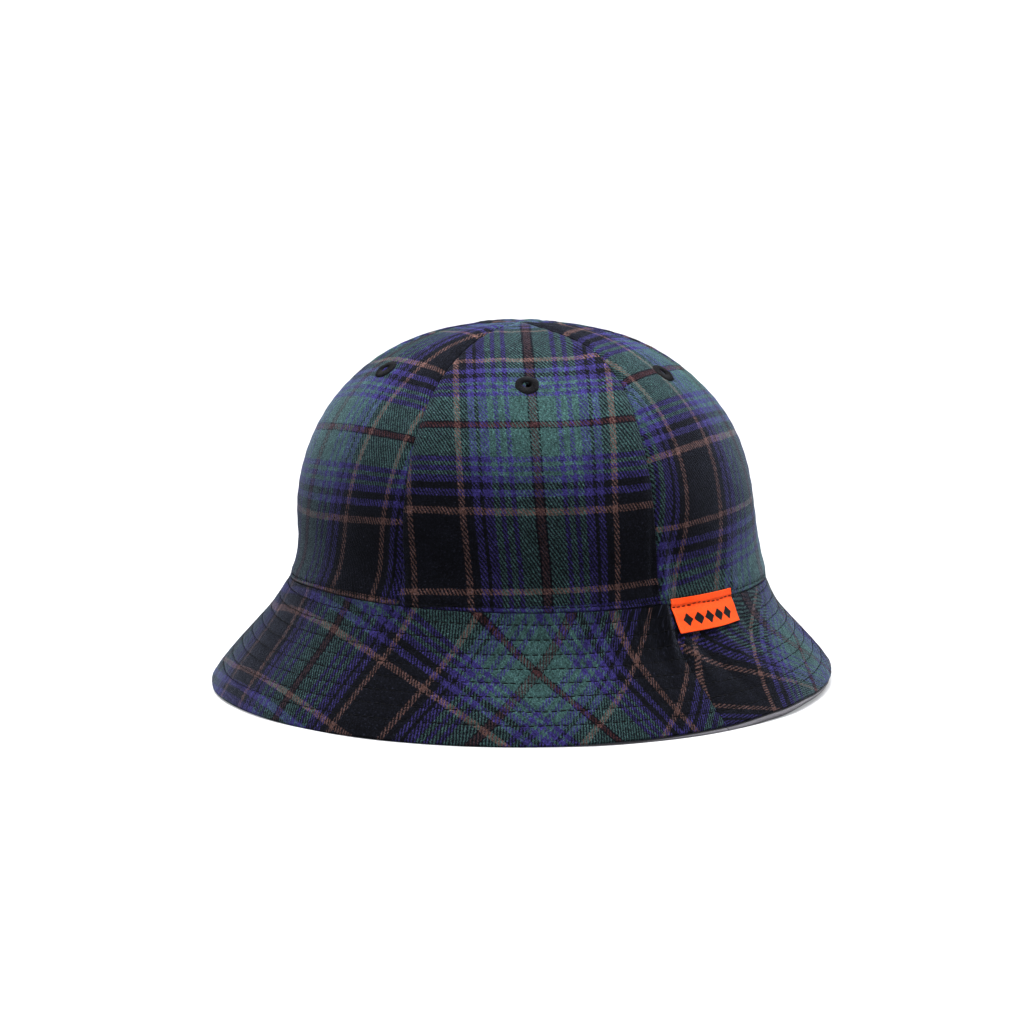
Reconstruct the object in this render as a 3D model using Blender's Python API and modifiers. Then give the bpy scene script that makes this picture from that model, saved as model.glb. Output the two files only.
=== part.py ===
"""Six-panel bell-shaped bucket hat, built as the cut and sewn pieces that it is made of.

Metres, +Z up. The hat stands on the rim of its brim at z = 0, its axis is the Z axis and its front
faces -Y. Azimuths are degrees round Z from the front towards +X, the wearer's left.
"""

import math

import bmesh
import bpy
import numpy as np
from mathutils import Matrix, Vector

# ---------------------------------------------------------------- driving dimensions
HEIGHT = 0.144             # rim to the top of the crown
CROWN_R = 0.0919           # radius of the crown where its wall is upright
CROWN_Z = 0.0616           # height at which the wall is upright
CROWN_N = 2.26             # superellipse exponent of the dome's section
SEAM_R = 0.0958            # radius of the crown to brim seam, a 60 cm girth
SEAM_Z = 0.041
RIM_R = 0.1255             # radius of the brim's edge
BRIM_POINTS = [            # brim section between the seam and the rim: it leaves the crown steeply, then flares
    (0.1024, 0.0297), (0.1090, 0.0214), (0.1155, 0.0137), (0.1214, 0.0062),
]
PANELS = 6
APEX_HOLE_R = 0.0007       # the six points stop this far from the axis
SHELL_T = 0.0009           # brushed flannel
LINING_OFFSET = 0.0024     # from the outside of the crown to the outside of the lining
LINING_T = 0.0005
STIFFENER_OFFSET = 0.0012  # brim interlining, below the outside of the brim
STIFFENER_T = 0.0005
UNDER_OFFSET = 0.0020      # under-brim facing
UNDER_T = 0.0006
BAND_OFFSET = 0.0034       # sweatband
BAND_T = 0.0007
BAND_H = 0.031
BRIM_TURN = 8.0            # the brim's side seams sit this far behind the crown's side seams, degrees
SEAM_GAP = 0.0004          # open gap at each sewn seam
EYELET_AXIS_R = 0.0625     # from the hat's axis to the middle of an eyelet
PANEL_STEPS = 11           # flats from the apex to the seam
EYELET_R = 0.0048
EYELET_HOLE_R = 0.0016
LABEL_AZ = 104.5
LABEL_W = 0.0345
LABEL_SEWN_H = 0.0032      # strip above the stitch line
LABEL_FLAP_H = 0.0118      # loose part below it
LABEL_T = 0.0005
LABEL_STITCH_Z = SEAM_Z + 0.0022
CARE_W, CARE_H, CARE_T = 0.034, 0.022, 0.0003
STEP = math.radians(7.5)   # angle of one facet round the axis

for old in list(bpy.data.objects):
    bpy.data.objects.remove(old)
scene = bpy.context.scene
hat = bpy.data.collections.new("bucket_hat")
cutters = bpy.data.collections.new("cutters")
scene.collection.children.link(hat)
scene.collection.children.link(cutters)


def material(name, rgb, roughness):
    made = bpy.data.materials.new(name)
    made.use_nodes = True
    shader = made.node_tree.nodes["Principled BSDF"]
    shader.inputs["Base Color"].default_value = (*rgb, 1)
    shader.inputs["Roughness"].default_value = roughness
    shader.inputs["Metallic"].default_value = 0
    return made


FLANNEL = material("plaid_flannel", (0.045, 0.055, 0.085), 0.95)
LINING = material("lining_cloth", (0.33, 0.31, 0.36), 0.6)
STIFFENER = material("interlining", (0.75, 0.74, 0.70), 0.9)
BAND = material("sweatband_cloth", (0.045, 0.045, 0.055), 0.9)
THREAD = material("black_thread", (0.02, 0.02, 0.022), 0.8)
LABEL = material("orange_label", (0.90, 0.17, 0.02), 0.6)
CARE = material("white_label", (0.8, 0.8, 0.78), 0.6)


# ---------------------------------------------------------------- section of the hat
def catmull(points, count):
    """A smooth curve through the points, count samples a span."""
    p = [np.array(q, float) for q in points]
    p = [2 * p[0] - p[1]] + p + [2 * p[-1] - p[-2]]
    out = []
    for i in range(1, len(p) - 2):
        for k in range(count):
            t = k / count
            out.append(0.5 * (2 * p[i] + (p[i + 1] - p[i - 1]) * t
                       + (2 * p[i - 1] - 5 * p[i] + 4 * p[i + 1] - p[i + 2]) * t ** 2
                       + (3 * p[i] - p[i - 1] - 3 * p[i + 1] + p[i + 2]) * t ** 3))
    return out + [p[-2]]


def crown_section():
    """(r, z) from the apex down to the seam: a superelliptic dome on a wall that flares a little."""
    out = []
    for k in range(241):
        a = (k / 240) * math.pi / 2
        out.append((CROWN_R * math.sin(a) ** (2 / CROWN_N), CROWN_Z + (HEIGHT - CROWN_Z) * math.cos(a) ** (2 / CROWN_N)))
    for k in range(1, 41):
        t = k / 40
        out.append((CROWN_R + (SEAM_R - CROWN_R) * t ** 2, CROWN_Z + (SEAM_Z - CROWN_Z) * t))
    return np.array(out)


def brim_section():
    return np.array(catmull([(SEAM_R, SEAM_Z), *BRIM_POINTS, (RIM_R, 0.0)], 24))


def arc_lengths(section):
    return np.r_[0, np.cumsum(np.hypot(*np.diff(section, axis=0).T))]


def inset(section, depth):
    """The section moved inwards by depth, square to itself."""
    d = np.gradient(section, axis=0)
    n = np.c_[-d[:, 1], d[:, 0]]
    n /= np.hypot(*n.T)[:, None]
    return section - n * depth


def chain(section, start, end, count):
    """count + 1 points, evenly spaced between two arc lengths."""
    s = arc_lengths(section)
    want = np.linspace(start, end, count + 1)
    return [(float(np.interp(w, s, section[:, 0])), float(np.interp(w, s, section[:, 1]))) for w in want]


def place(obj, collection=hat, mat=None):
    collection.objects.link(obj)
    if mat:
        obj.data.materials.append(mat)
    return obj


def swept(name, points, az_from, az_to, thickness, mat, offset=-1.0):
    """A sheet of cloth: an open section turned about Z between two azimuths, then given its thickness."""
    mesh = bpy.data.meshes.new(name)
    mesh.from_pydata([(r, 0, z) for r, z in points], [(i, i + 1) for i in range(len(points) - 1)], [])
    obj = place(bpy.data.objects.new(name, mesh), hat, mat)
    obj.rotation_euler.z = math.radians(az_from - 90)
    angle = math.radians(az_to - az_from)
    screw = obj.modifiers.new("turn", "SCREW")
    screw.axis = "Z"
    screw.angle = angle
    screw.steps = screw.render_steps = max(2, round(angle / STEP))
    screw.use_merge_vertices = False
    screw.use_smooth_shade = True
    solid = obj.modifiers.new("cloth", "SOLIDIFY")
    solid.thickness = thickness
    solid.offset = offset
    solid.use_even_offset = True
    return obj


def cut(obj, cutter):
    cutter.hide_render = True
    cutter.display_type = "WIRE"
    boolean = obj.modifiers.new("cut_" + cutter.name, "BOOLEAN")
    boolean.operation = "DIFFERENCE"
    boolean.solver = "EXACT"
    boolean.object = cutter


def direction(az):
    a = math.radians(az)
    return Vector((math.sin(a), -math.cos(a), 0))


CROWN = crown_section()
BRIM = brim_section()
CROWN_S = arc_lengths(CROWN)
BRIM_S = arc_lengths(BRIM)


def seam_half_angle(r):
    return math.degrees(SEAM_GAP / 2 / r)


# ---------------------------------------------------------------- crown: six shell panels, each with an eyelet
PANEL_NAMES = ["front", "front_left", "rear_left", "rear", "rear_right", "front_right"]
first = float(np.interp(APEX_HOLE_R, CROWN[:60, 0], CROWN_S[:60]))
PANEL = chain(CROWN, first, CROWN_S[-1] - 0.0002, PANEL_STEPS)
eye_edge = next(i for i in range(PANEL_STEPS) if PANEL[i + 1][0] > EYELET_AXIS_R)
(r0, z0), (r1, z1) = PANEL[eye_edge], PANEL[eye_edge + 1]
eye_r = EYELET_AXIS_R
eye_z = z0 + (z1 - z0) * (eye_r - r0) / (r1 - r0)
eye_tilt = math.atan2(z0 - z1, r1 - r0)         # slope of the panel below the horizontal at the eyelet


def eyelet_frame(az):
    """Origin on the outside of the panel, local +Z square to it and outwards."""
    out = direction(az)
    normal = (out * math.sin(eye_tilt) + Vector((0, 0, 1)) * math.cos(eye_tilt)).normalized()
    side = Vector((0, 0, 1)).cross(out).normalized()
    up = normal.cross(side)
    m = Matrix.Identity(4)
    for col, v in enumerate((side, up, normal)):
        for row in range(3):
            m[row][col] = v[row]
    m.translation = out * eye_r + Vector((0, 0, eye_z))
    return m


def eyelet(name, az):
    """A worked eyelet: close thread over the cloth's edge, a flange outside, a barrel through the hole, a flange inside."""
    top, inner = 0.00085, -SHELL_T - 0.00045
    section = [                       # outer side first, run from the top downwards
        (EYELET_HOLE_R, top - 0.0002), (EYELET_R - 0.0012, top), (EYELET_R, 0.0003), (EYELET_R - 0.0003, 0.0002),
        (EYELET_HOLE_R + 0.0006, 0.0002), (EYELET_HOLE_R + 0.0006, inner),
        (EYELET_R - 0.0016, inner), (EYELET_R - 0.0018, inner - 0.0003), (EYELET_HOLE_R, inner - 0.0003),
    ]
    mesh = bpy.data.meshes.new(name)
    mesh.from_pydata([(r, 0, z) for r, z in section], [(i, (i + 1) % len(section)) for i in range(len(section))], [])
    obj = place(bpy.data.objects.new(name, mesh), hat, THREAD)
    screw = obj.modifiers.new("turn", "SCREW")
    screw.axis = "Z"
    screw.angle = math.tau
    screw.steps = screw.render_steps = 14
    screw.use_merge_vertices = True
    screw.merge_threshold = 0.00001
    screw.use_smooth_shade = True
    screw.use_normal_calculate = True
    obj.matrix_world = eyelet_frame(az)
    return obj


for k, where in enumerate(PANEL_NAMES):
    az = k * 360 / PANELS
    half = 180 / PANELS - seam_half_angle(0.07)
    panel = swept("crown_panel_" + where, PANEL, az - half, az + half, SHELL_T, FLANNEL)
    bpy.ops.mesh.primitive_cylinder_add(vertices=14, radius=EYELET_HOLE_R + 0.0009, depth=0.01)
    punch = bpy.context.object
    punch.name = "eyelet_punch_" + where
    for c in list(punch.users_collection):
        c.objects.unlink(punch)
    cutters.objects.link(punch)
    punch.matrix_world = eyelet_frame(az)
    cut(panel, punch)
    eyelet("eyelet_" + where, az)

# ---------------------------------------------------------------- lining: six panels inside the shell
lining = inset(CROWN, LINING_OFFSET)
lining_s = arc_lengths(lining)
lining_first = float(np.interp(APEX_HOLE_R, lining[:60, 0], lining_s[:60]))
for k, where in enumerate(PANEL_NAMES):
    az = k * 360 / PANELS
    half = 180 / PANELS - seam_half_angle(0.07)
    swept("lining_panel_" + where, chain(lining, lining_first, lining_s[-1] - 0.0004, 11), az - half, az + half, LINING_T, LINING)

# ---------------------------------------------------------------- brim: two halves of shell, interlining and facing
bpy.ops.mesh.primitive_cube_add(size=1, location=(0, 0, -0.05))
ground = bpy.context.object
ground.name = "rim_level"
ground.scale = (0.4, 0.4, 0.1)
for c in list(ground.users_collection):
    c.objects.unlink(ground)
cutters.objects.link(ground)
half = 90 - seam_half_angle(0.11)
BRIM_TOP = chain(BRIM, 0.0003, BRIM_S[-1] - 0.0012, 5)
for where, middle in (("front", BRIM_TURN), ("rear", 180 + BRIM_TURN)):
    swept("brim_top_" + where, BRIM_TOP, middle - half, middle + half, SHELL_T, FLANNEL)
    core = inset(BRIM, STIFFENER_OFFSET)
    swept("brim_interlining_" + where, chain(core, 0.0010, arc_lengths(core)[-1] - 0.0035, 5), middle - half, middle + half, STIFFENER_T, STIFFENER)
    face = inset(np.vstack([BRIM, BRIM[-1] + (BRIM[-1] - BRIM[-2]) * 2]), UNDER_OFFSET)
    under = swept("brim_under_" + where, chain(face, 0.0003, arc_lengths(face)[-1], 5), middle - half, middle + half, UNDER_T, LINING)
    cut(under, ground)

# ---------------------------------------------------------------- sweatband: one strip, its ends meeting at the back
band = inset(CROWN, BAND_OFFSET)
band_s = arc_lengths(band)
swept("sweatband", chain(band, band_s[-1] - BAND_H, band_s[-1] - 0.0006, 3), 180.3, 539.7, BAND_T, BAND)

# ---------------------------------------------------------------- care label: sewn flat to the lining above the sweatband
care = inset(CROWN, LINING_OFFSET + LINING_T + 0.0009)
care_s = arc_lengths(care)
care_end = band_s[-1] - BAND_H - 0.004
care_half = math.degrees(CARE_W / 2 / CROWN_R)
swept("care_label", chain(care, care_end - CARE_H, care_end, 2), 180 - care_half, 180 + care_half, CARE_T, CARE)

# ---------------------------------------------------------------- woven side label: a sewn strip and the loose part below it
label_half = math.degrees(LABEL_W / 2 / SEAM_R)


def wall_r(z):
    """Outside radius of the hat's flats at a height near the crown seam."""
    both = np.array(PANEL[-3:] + BRIM_TOP)
    return float(np.interp(-z, -both[:, 1], both[:, 0]))


stand = LABEL_T + 0.0005
hinge_r = wall_r(LABEL_STITCH_Z) + stand
top_z = LABEL_STITCH_Z + LABEL_SEWN_H
swept("label_sewn_edge", [(wall_r(top_z) + stand, top_z), (hinge_r, LABEL_STITCH_Z + 0.0002)],
      LABEL_AZ - label_half, LABEL_AZ + label_half, LABEL_T, LABEL)
lean = math.radians(31)
swept("label_flap", [(hinge_r + 0.0002 * math.sin(lean), LABEL_STITCH_Z - 0.0002),
                     (hinge_r + LABEL_FLAP_H * math.sin(lean), LABEL_STITCH_Z - LABEL_FLAP_H * math.cos(lean))],
      LABEL_AZ - label_half, LABEL_AZ + label_half, LABEL_T, LABEL)
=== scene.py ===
"""Looks of the plaid flannel bucket hat: cloth pieces, stitching, eyelets, label, lining, light and camera.

Metres, +Z up. Azimuths are degrees round Z from the hat's front (-Y) towards the wearer's left (+X).
s is the length along the cloth: from the apex on the crown, from the crown seam on the brim.
"""

import math

import bpy
import numpy as np
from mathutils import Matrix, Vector


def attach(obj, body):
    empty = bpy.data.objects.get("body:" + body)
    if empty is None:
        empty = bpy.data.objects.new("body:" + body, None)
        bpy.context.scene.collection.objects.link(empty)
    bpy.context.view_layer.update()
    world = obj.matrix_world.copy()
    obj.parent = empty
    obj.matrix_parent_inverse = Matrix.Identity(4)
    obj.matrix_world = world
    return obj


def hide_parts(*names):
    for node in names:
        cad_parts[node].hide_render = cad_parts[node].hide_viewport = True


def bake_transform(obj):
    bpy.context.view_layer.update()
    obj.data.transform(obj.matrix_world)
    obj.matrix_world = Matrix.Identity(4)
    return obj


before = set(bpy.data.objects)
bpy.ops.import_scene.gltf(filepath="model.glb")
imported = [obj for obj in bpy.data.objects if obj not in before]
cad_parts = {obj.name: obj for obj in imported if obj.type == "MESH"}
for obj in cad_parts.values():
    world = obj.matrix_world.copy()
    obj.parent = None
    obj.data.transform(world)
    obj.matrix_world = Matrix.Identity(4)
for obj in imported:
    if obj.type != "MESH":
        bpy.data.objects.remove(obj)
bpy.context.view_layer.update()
rng = np.random.default_rng(11)

# ---------------------------------------------------------------- shape of the hat
HEIGHT, CROWN_R, CROWN_Z, CROWN_N = 0.144, 0.0919, 0.0616, 2.26
SEAM_R, SEAM_Z, RIM_R = 0.0958, 0.041, 0.1255
BRIM_POINTS = [(0.1024, 0.0297), (0.1090, 0.0214), (0.1155, 0.0137), (0.1214, 0.0062)]
LABEL_AZ, LABEL_W = 104.5, 0.0345
ROWS = [0.0011 + 0.00586 * k for k in range(8)]      # stitch rows on the brim
EYELET_S = 0.0655


def catmull(points, count):
    p = [np.array(q, float) for q in points]
    p = [2 * p[0] - p[1]] + p + [2 * p[-1] - p[-2]]
    out = []
    for i in range(1, len(p) - 2):
        for k in range(count):
            t = k / count
            out.append(0.5 * (2 * p[i] + (p[i + 1] - p[i - 1]) * t
                       + (2 * p[i - 1] - 5 * p[i] + 4 * p[i + 1] - p[i + 2]) * t ** 2
                       + (3 * p[i] - p[i - 1] - 3 * p[i + 1] + p[i + 2]) * t ** 3))
    return np.array(out + [p[-2]])


def crown_section():
    a = np.linspace(0, 1, 1601) ** 1.4 * math.pi / 2
    dome = np.c_[CROWN_R * np.sin(a) ** (2 / CROWN_N),
                 CROWN_Z + (HEIGHT - CROWN_Z) * np.maximum(np.cos(a), 0) ** (2 / CROWN_N)]
    t = np.linspace(0, 1, 121)[1:]
    wall = np.c_[CROWN_R + (SEAM_R - CROWN_R) * t ** 2, CROWN_Z + (SEAM_Z - CROWN_Z) * t]
    return np.vstack([dome, wall])


def lengths(section):
    return np.r_[0, np.cumsum(np.hypot(*np.diff(section, axis=0).T))]


CROWN = crown_section()
BRIM = catmull([(SEAM_R, SEAM_Z), *BRIM_POINTS, (RIM_R, 0.0)], 60)
CROWN_L, BRIM_L = lengths(CROWN)[-1], lengths(BRIM)[-1]
# the brim's section starts on the crown's wall, because the seam climbs up to 4 mm above its lowest point
WALL = CROWN[-45:-1]
SECTION = {"crown": (CROWN, lengths(CROWN)),
           "brim": (np.vstack([WALL, BRIM]), np.r_[lengths(CROWN)[-45:-1] - CROWN_L, lengths(BRIM)])}


def wrap(az):
    return (np.asarray(az, float) + 180) % 360 - 180


def bell(x, width):
    return np.exp(-(x / width) ** 2)


def smooth(x):
    x = np.clip(x, 0, 1)
    return x * x * (3 - 2 * x)


def ring(az, stops):
    """A smooth closed curve of values through (azimuth, value) stops."""
    at = np.array([a for a, _ in stops], float)
    val = np.array([v for _, v in stops], float)
    at = np.r_[at[-1] - 360, at, at[0] + 360]
    val = np.r_[val[-1], val, val[0]]
    a = np.mod(np.asarray(az, float) - at[1], 360) + at[1]
    k = np.clip(np.searchsorted(at, a, side="right") - 1, 0, len(at) - 2)
    return val[k] + (val[k + 1] - val[k]) * smooth((a - at[k]) / (at[k + 1] - at[k]))


# how far the rim stands off the floor, and how far the crown seam climbs, in mm
RIM_LIFT = [(-60, 0.0), (-30, 0.1), (10, 0.3), (45, 0.5), (72, 0.2), (97, 0.0), (112, 1.2), (124, 2.6), (140, 3.5), (152, 3.9),
            (182, 2.0), (212, 0.0), (255, 0.5), (285, 0.0)]
SEAM_CLIMB = [(-60, 0.6), (-32, 0.8), (2, 3.8), (60, 3.5), (88, 3.6), (108, 2.7), (125, 2.3), (150, 0.9), (210, 0.8), (250, 2.4)]


def seam_climb(az):
    return ring(az, SEAM_CLIMB) / 1000


def radius(kind, s):
    section, along = SECTION[kind]
    return np.interp(s, along, section[:, 0])


def base(kind, az, s):
    """The hat's outer surface without folds."""
    section, along = SECTION[kind]
    az, s = np.broadcast_arrays(np.asarray(az, float), np.asarray(s, float))
    extra = np.clip(s - along[-1], 0, None)
    tip = (section[-1] - section[-6]) / np.linalg.norm(section[-1] - section[-6])
    r = np.interp(s, along, section[:, 0]) + extra * tip[0]
    z = np.interp(s, along, section[:, 1]) + extra * tip[1]
    a = np.radians(az)
    # the brim droops less and the wall bulges a little at the wearer's back left
    low = np.clip((SEAM_Z - z) / SEAM_Z, 0, 1)
    r = r + 0.0011 * bell(wrap(az - 150), 45) * bell(z - 0.050, 0.012) + 0.0012 * low ** 1.5 * bell(wrap(az - 150), 40)
    p = np.stack([r * np.sin(a), -r * np.cos(a), z + low ** 1.35 * ring(az, RIM_LIFT) / 1000], -1)
    # the crown's top and the brim lean a little towards the wearer's front right
    lean = np.clip((z - 0.08) / 0.064, 0, 1) ** 2 * 0.0024 + low * 0.0022 - 0.0009 * bell(z - 0.058, 0.020)
    p[..., 0] += -0.5 * lean
    p[..., 1] += -0.866 * lean
    return p


def frame_of(kind, az, s):
    """Point, outward normal and direction of increasing azimuth."""
    az, s = np.broadcast_arrays(np.asarray(az, float), np.asarray(s, float))
    top = SECTION[kind][1][-1] if kind == "crown" else 1.0
    lo, hi = np.clip(s - 0.0008, 0.0002, top), np.clip(s + 0.0008, 0.0004, top)
    ds = base(kind, az, hi) - base(kind, az, lo)
    da = base(kind, az + 0.2, np.maximum(s, 0.0006)) - base(kind, az - 0.2, np.maximum(s, 0.0006))
    n = np.cross(ds, da)
    n /= np.linalg.norm(n, axis=-1, keepdims=True)
    da = da / np.linalg.norm(da, axis=-1, keepdims=True)
    return base(kind, az, s), n, da


# folds: kind, azimuth, s, turn (degrees from straight down the cloth), half length, half width, height
FOLDS = [
    ("crown", 92.6, 0.153, 1, 0.020, 0.0030, 0.0016), ("crown", 90.3, 0.150, 0, 0.018, 0.0016, -0.0010),
    ("crown", 97.5, 0.150, -8, 0.014, 0.0032, -0.0006), ("crown", 116, 0.150, 6, 0.016, 0.0040, 0.0006),
    ("crown", 70, 0.152, -4, 0.014, 0.0040, 0.0004), ("crown", 33, 0.151, 3, 0.012, 0.0032, 0.0004),
    ("crown", 26, 0.149, -2, 0.015, 0.0040, 0.0004), ("crown", 205, 0.150, 4, 0.015, 0.0040, 0.0006),
    ("crown", 268, 0.151, -6, 0.015, 0.0040, 0.0006), ("crown", 312, 0.150, 4, 0.014, 0.0040, 0.0005),
    ("crown", 88, 0.066, 15, 0.010, 0.0030, -0.0006), ("crown", 95, 0.060, -12, 0.010, 0.0030, -0.0005),
    ("brim", 92.0, 0.004, 2, 0.013, 0.0030, 0.0014), ("brim", 89.0, 0.010, -6, 0.016, 0.0026, -0.0009),
    ("brim", 97.0, 0.016, -20, 0.014, 0.0026, 0.0009), ("brim", 103.0, 0.022, -34, 0.018, 0.0030, -0.0009),
    ("brim", 110.0, 0.020, -30, 0.018, 0.0032, 0.0008), ("brim", 84.0, 0.020, -30, 0.016, 0.0034, 0.0006),
    ("brim", 118.0, 0.012, -22, 0.016, 0.0034, -0.0006), ("brim", 276.0, 0.016, 16, 0.018, 0.0032, 0.0008),
    ("brim", 284.0, 0.020, 24, 0.018, 0.0034, -0.0007), ("brim", 230.0, 0.022, 8, 0.020, 0.0045, 0.0005),
]


def relief(kind, az, s):
    """Height of the broad folds and unevenness of the cloth, unbroken from the crown to the brim."""
    az, s = np.broadcast_arrays(np.asarray(az, float), np.asarray(s, float))
    y = s if kind == "crown" else s + CROWN_L
    r = radius(kind, s)
    a = np.radians(az)
    h = np.zeros(az.shape)
    for k, az0, s0, turn, long, wide, high in FOLDS:
        x, down = np.radians(wrap(az - az0)) * r, y - s0 - (0 if k == "crown" else CROWN_L)
        c, t = math.cos(math.radians(turn)), math.sin(math.radians(turn))
        h += high * bell(x * c + down * t, wide) * bell(down * c - x * t, long)
    rise = smooth(y / 0.05) * smooth((CROWN_L - 0.004 - y) / 0.03)
    h += rise * (0.00045 * np.sin(3 * a + 0.6 + 18 * y) + 0.00028 * np.sin(7 * a - 1.1 + 46 * y)
                 + 0.00016 * np.sin(13 * a + 2.0 - 90 * y))
    t = np.clip((y - CROWN_L) / BRIM_L, 0, 1.1)
    h += t * (0.0005 * np.sin(4 * a + 1.9) + 0.00035 * np.sin(9 * a + 0.4 + 30 * (y - CROWN_L)) + 0.0002 * np.sin(17 * a - 1.3))
    return h


def side_seam(s):
    """Azimuth of the brim's left side seam; the right one is opposite."""
    return 93.6 + 4.8 * np.clip(np.asarray(s) / BRIM_L, 0, 1.1) ** 1.4


# the gore seams stray from true meridians: azimuth at (seam, s in mm), in degrees
SEAM_SWAY = {30: [(0, 0.0), (20, -1.2), (45, -1.6), (100, -1.6), (165, -1.7)],
             90: [(0, 0.0), (18, 5.5), (40, 9.0), (64, 7.0), (80, 4.2), (95, 2.6), (130, 1.7), (165, 1.5)]}


def gore_sway(seam, s):
    knots = SEAM_SWAY.get(int(round(seam)) % 360)
    if knots is None:
        return np.zeros(np.shape(s))
    grid = np.arange(-30.0, 201.0)
    line = np.interp(grid, [k[0] for k in knots], [k[1] for k in knots])
    line = np.convolve(np.pad(line, 8, mode="edge"), np.hanning(19)[1:-1] / np.hanning(19).sum(), mode="valid")
    return np.interp(np.asarray(s) * 1000, grid, line)


def crown_detail(az, s):
    """Height of what only the shell shows: gore seams drawn in, puckers along them."""
    r = radius("crown", s)
    local = (np.asarray(az) + 30) % 60 - 30
    d = np.radians(30 - np.abs(local)) * r
    seam = np.round((np.asarray(az) - 30 - local * 0) / 60)
    taper = smooth(s / 0.018)
    h = -0.00055 * bell(d, 0.0026) * taper
    h += 0.00030 * bell(d - 0.0034, 0.0020) * taper
    wave = np.sin(s / 0.0062 * math.tau + seam * 1.7) + 0.6 * np.sin(s / 0.0101 * math.tau + seam * 2.9)
    h += 0.00011 * wave * bell(d, 0.0045) * taper
    below = CROWN_L - seam_climb(az) - s
    h += 0.00030 * bell(below - 0.0036, 0.0024) - 0.00025 * bell(below - 0.0018, 0.0006)
    h += 0.00010 * np.sin(np.radians(az) * r / 0.0075 * math.tau) * bell(below, 0.006)
    return h


def brim_detail(az, s):
    """Rows of quilting drawn down into the brim, and its puckered side seams."""
    r = radius("brim", s)
    h = np.zeros(np.broadcast(az, s).shape)
    for row in ROWS:
        h = h - 0.00015 * bell(s - row, 0.0005)
    between = (s - ROWS[0]) / (ROWS[1] - ROWS[0])
    h = h + 0.00007 * np.sin(np.clip(between, 0, 7.9) * math.pi) ** 2
    h = h + 0.00007 * np.sin(np.radians(az) * r / 0.0068 * math.tau + 1.3 * np.sin(s / 0.004)) * np.sin(between * math.pi) ** 2
    for turn in (0, 180):
        d = np.radians(wrap(az - side_seam(s) - turn)) * r
        h = h - 0.0003 * bell(d, 0.0020) + 0.0001 * np.sin(s / 0.0058 * math.tau) * bell(d, 0.004)
    return h


def roll(x, size):
    """Drop of a turned-in edge at distance x from it."""
    t = np.clip(1 - x / np.maximum(size, 1e-7), 0, 1)
    return size * (1 - np.sqrt(np.maximum(1 - t * t, 0)))


def spaced(length, step, near=(0, 0.00010, 0.00025, 0.00045, 0.0007, 0.0010, 0.0014, 0.0020, 0.0028, 0.0038)):
    """Positions along a length, close together near both ends."""
    near = np.array(near)
    count = max(2, round((length - 2 * near[-1]) / step))
    return np.r_[near[:-1], np.linspace(near[-1], length - near[-1], count + 1), length - near[:-1][::-1]]


# ---------------------------------------------------------------- grain of each cut piece, in mm from the brown stripes
def flat(kind, phi, s):
    """The cloth laid flat: across and down, in mm, for an angle in degrees from the piece's middle."""
    section, along = SECTION[kind]
    r = radius(kind, s)
    h = 0.004
    slope = (np.interp(s + h, along, section[:, 0]) - np.interp(s - h, along, section[:, 0])) \
        / (np.minimum(s + h, along[-1]) - np.maximum(s - h, 0))
    slope = np.maximum(slope, 1e-4)
    turn = np.radians(phi) * slope
    return r / slope * np.sin(turn) * 1000, r / slope * (1 - np.cos(turn)) * 1000


def surface_fit(x, y, order, weights):
    """A polynomial in x and y, lowest powers first: 1, x, y, xx, xy, yy, ..."""
    terms = [x ** i * y ** (k - i) for k in range(order + 1) for i in range(k, -1, -1)]
    return sum(w * t for w, t in zip(weights, terms))


def crown_grain(azc, az, s):
    x, drop = flat("crown", wrap(az - azc), s)
    mm = s * 1000
    y = mm - 0.2 * drop
    y = y - 9.1 * np.clip(1 - y / 50, 0, 1) ** 2
    down = (mm - drop - 90) / 60
    if azc == 60:       # the panel beside the wearer's left temple is cut almost on the straight grain
        p = x - 2.0 - 5.0 * (mm / 150) ** 2.5
        return (p + surface_fit(x / 60, down, 3, (-0.09, -0.25, 0.13, -1.05, 0.46, 0.01, 2.12, 5.4, 2.05, -0.13)),
                y - 84.6 + surface_fit(x / 60, down, 3, (-0.73, 0.53, 1.88, 1.39, -2.38, 0.21, 1.61, -1.32, 2.97, -1.18)))
    if azc == 0:
        across = (x - 10) / 60
        return (x + surface_fit(across, down, 3, (11.6, 4.66, -0.5, 9.82, -5.48, 5.52, -0.73, -1.62, -3.95, 1.26)),
                mm - drop + surface_fit(across, down, 3, (-92.03, 5.47, -1.52, 2.79, -0.51, -0.78, -0.47, -0.92, -0.55, 2.71)))
    if azc == 120:
        across = np.maximum((x + 10) / 60, -0.42)
        return (x + surface_fit(across, down, 3, (-26.5, 9.08, 7.34, -4.48, -7.9, 2.26, -3.68, -7.93, -11.18, 1.5)),
                mm - drop + surface_fit(across, down, 3, (-63.23, 0.77, 2.42, 2.06, 1.53, 1.46, 0.73, -2.9, 1.74, -1.65)))
    p0, q0 = {180: (6.0, 77.0), 240: (-19.0, 101.0), 300: (31.0, 70.0)}[azc]
    return x - p0, y - q0


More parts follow.
